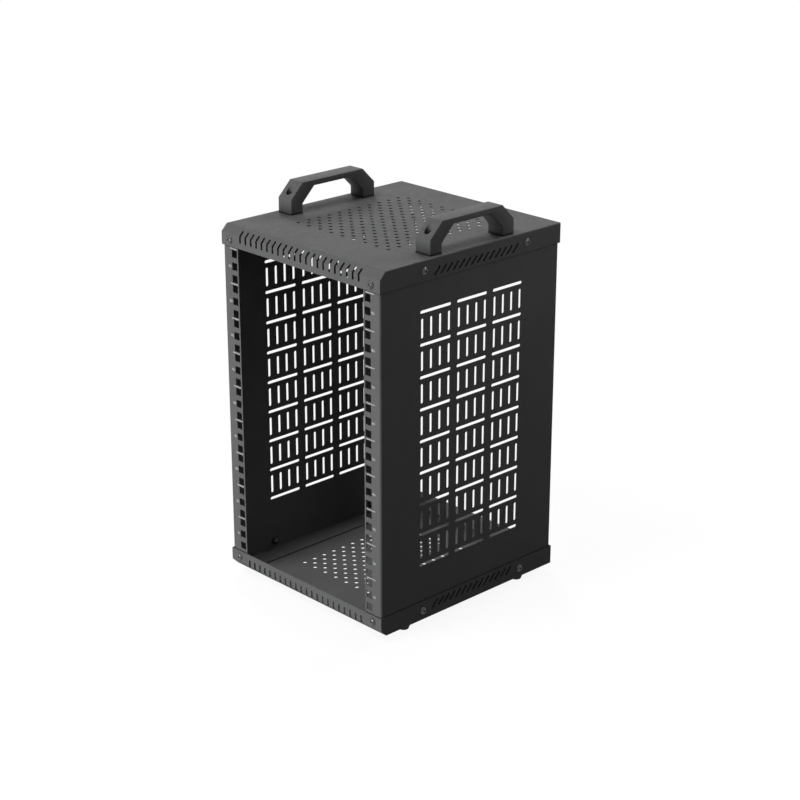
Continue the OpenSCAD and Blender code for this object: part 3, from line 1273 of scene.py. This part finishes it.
@dataclass
class Studio:
    """The white floor, the white surround and the lamps.

    Attributes:
        floor_half: half the floor's width.
        ambient: how brightly the surround lights the rack.
        floor_bounce: share of light that the floor gives back to the rack.
        floor_glow: brightness of the floor in full shadow, as it is seen.
        floor_tone: share of the lamps' light that is added to it.
        shadow_near: distance from the rack's middle where the shadow starts to fade.
        shadow_far: distance where it has faded out.
    """

    floor_half: float = 20.0
    ambient: float = 0.008
    floor_bounce: float = 0.1
    floor_glow: float = 0.915
    floor_tone: float = 0.12
    shadow_near: float = 0.55
    shadow_far: float = 1.1

    def build(self) -> list[Object]:
        """Builds the studio.

        Returns:
            The floor.
        """
        self.surround()
        low, high = CAD_BOX
        for lamp in LAMPS:
            lamp.make((low + high) / 2)
        return [self.floor()]

    def seen(self, tree: NodeTree) -> NodeSocket:
        """Adds the test that tells rays that see the surround from rays that light the rack.

        Args:
            tree: the node tree that takes the test.

        Returns:
            A socket that is 1 for camera, glossy and transmission rays.
        """
        path = tree.nodes.new("ShaderNodeLightPath")
        total = path.outputs["Is Camera Ray"]
        for ray in ("Is Glossy Ray", "Is Transmission Ray"):
            either = tree.nodes.new("ShaderNodeMath")
            either.operation = "MAXIMUM"
            tree.links.new(total, either.inputs[0])
            tree.links.new(path.outputs[ray], either.inputs[1])
            total = either.outputs["Value"]
        return total

    def surround(self) -> None:
        """Makes a world that looks white and lights the rack only faintly."""
        world = bpy.data.worlds.new("studio")
        world.use_nodes = True
        tree = world.node_tree
        strength = tree.nodes.new("ShaderNodeMapRange")
        strength.inputs["To Min"].default_value = self.ambient
        strength.inputs["To Max"].default_value = 1.0
        tree.links.new(self.seen(tree), strength.inputs["Value"])
        white = tree.nodes["Background"]
        white.inputs["Color"].default_value = (1, 1, 1, 1)
        tree.links.new(strength.outputs["Result"], white.inputs["Strength"])
        bpy.context.scene.world = world

    def floor(self) -> Object:
        """Lays a floor that looks white, keeps the rack's shadow and gives back little light.

        Returns:
            The floor.
        """
        half = self.floor_half
        mesh = bpy.data.meshes.new("floor")
        corners = [(-half, -half, 0), (half, -half, 0), (half, half, 0), (-half, half, 0)]
        mesh.from_pydata(corners, [], [(0, 1, 2, 3)])
        mesh.materials.append(self.floor_paper())
        floor = bpy.data.objects.new("floor", mesh)
        bpy.context.scene.collection.objects.link(floor)
        return floor

    def floor_paper(self) -> Material:
        """Builds the floor's material.

        Returns:
            White paper with a glow for the rays that see it, and dull paper for the rest.
        """
        tree = ShaderTree("floor_paper")
        paper = tree.add("ShaderNodeBsdfDiffuse", {"Color": (*[self.floor_tone] * 3, 1)})
        glow = tree.add("ShaderNodeEmission", {"Strength": self.floor_glow})
        shaded = tree.add("ShaderNodeAddShader")
        tree.link(paper.outputs["BSDF"], shaded.inputs[0])
        tree.link(glow.outputs["Emission"], shaded.inputs[1])
        place = tree.add("ShaderNodeTexCoord")
        reach = tree.add("ShaderNodeVectorMath", operation="LENGTH")
        tree.join(place, "Object", reach, "Vector")
        ends = {"From Min": self.shadow_near, "From Max": self.shadow_far}
        fade = tree.add("ShaderNodeMapRange", ends, interpolation_type="SMOOTHSTEP")
        tree.join(reach, "Value", fade, "Value")
        plain = tree.add("ShaderNodeEmission", {"Strength": 1.0})
        white = tree.add("ShaderNodeMixShader")
        tree.join(fade, "Result", white, "Fac")
        tree.link(shaded.outputs["Shader"], white.inputs[1])
        tree.link(plain.outputs["Emission"], white.inputs[2])
        dull = tree.add("ShaderNodeBsdfDiffuse", {"Color": (*[self.floor_bounce] * 3, 1)})
        choice = tree.add("ShaderNodeMixShader")
        tree.link(self.seen(tree.tree), choice.inputs["Fac"])
        tree.link(dull.outputs["BSDF"], choice.inputs[1])
        tree.link(white.outputs["Shader"], choice.inputs[2])
        return tree.surface(choice, "Shader")


@dataclass
class PhotoCamera:
    """The camera at the photograph's place.

    Attributes:
        lens: focal length in millimetres.
        sensor: width of the picture on the sensor in millimetres.
        azimuth: degrees from straight in front towards the rack's right.
        elevation: degrees above the level.
        distance: how far the camera stands from its target.
        target: the point in the middle of the picture.
        far: distance up to which things are drawn.
    """

    lens: float = 86.82
    sensor: float = 36.0
    azimuth: float = 46.288
    elevation: float = 20.863
    distance: float = 2413.9 * MM
    target: tuple[float, float, float] = (7.4 * MM, 7.7 * MM, 235.5 * MM)
    far: float = 100.0

    def build(self) -> list[Object]:
        """Sets up the scene's camera.

        Returns:
            The camera.
        """
        data = bpy.data.cameras.new("photo_camera")
        data.lens = self.lens
        data.sensor_width = self.sensor
        data.clip_end = self.far
        way = direction(self.azimuth, self.elevation)
        camera = bpy.data.objects.new("photo_camera", data)
        camera.location = Vector(self.target) + way * self.distance
        camera.rotation_euler = way.to_track_quat("Z", "Y").to_euler()
        bpy.context.scene.collection.objects.link(camera)
        bpy.context.scene.camera = camera
        return [camera]


def triangles(piece: Object) -> int:
    """Counts the triangles of what was made.

    Args:
        piece: a piece, the floor or the camera.

    Returns:
        The number of triangles, 0 for the camera.
    """
    if piece.type != "MESH":
        return 0
    piece.data.calc_loop_triangles()
    return len(piece.data.loop_triangles)


def main() -> None:
    """Builds the camera, the rack's sub-assemblies and the studio in order."""
    logging.basicConfig(level=logging.INFO, format="%(name)s: %(message)s")
    bpy.context.scene.view_settings.view_transform = "Standard"
    makers = (
        PhotoCamera(), SheetMetal(), CarryHandles(), DomedScrews(), CapScrews(), FrameNuts(),
        RubberFeet(), RailPrint(), Studio(),
    )
    for maker in makers:
        for made in maker.build():
            log.info("%s made %s, %d triangles", type(maker).__name__, made.name, triangles(made))


if __name__ == "__main__":
    main()
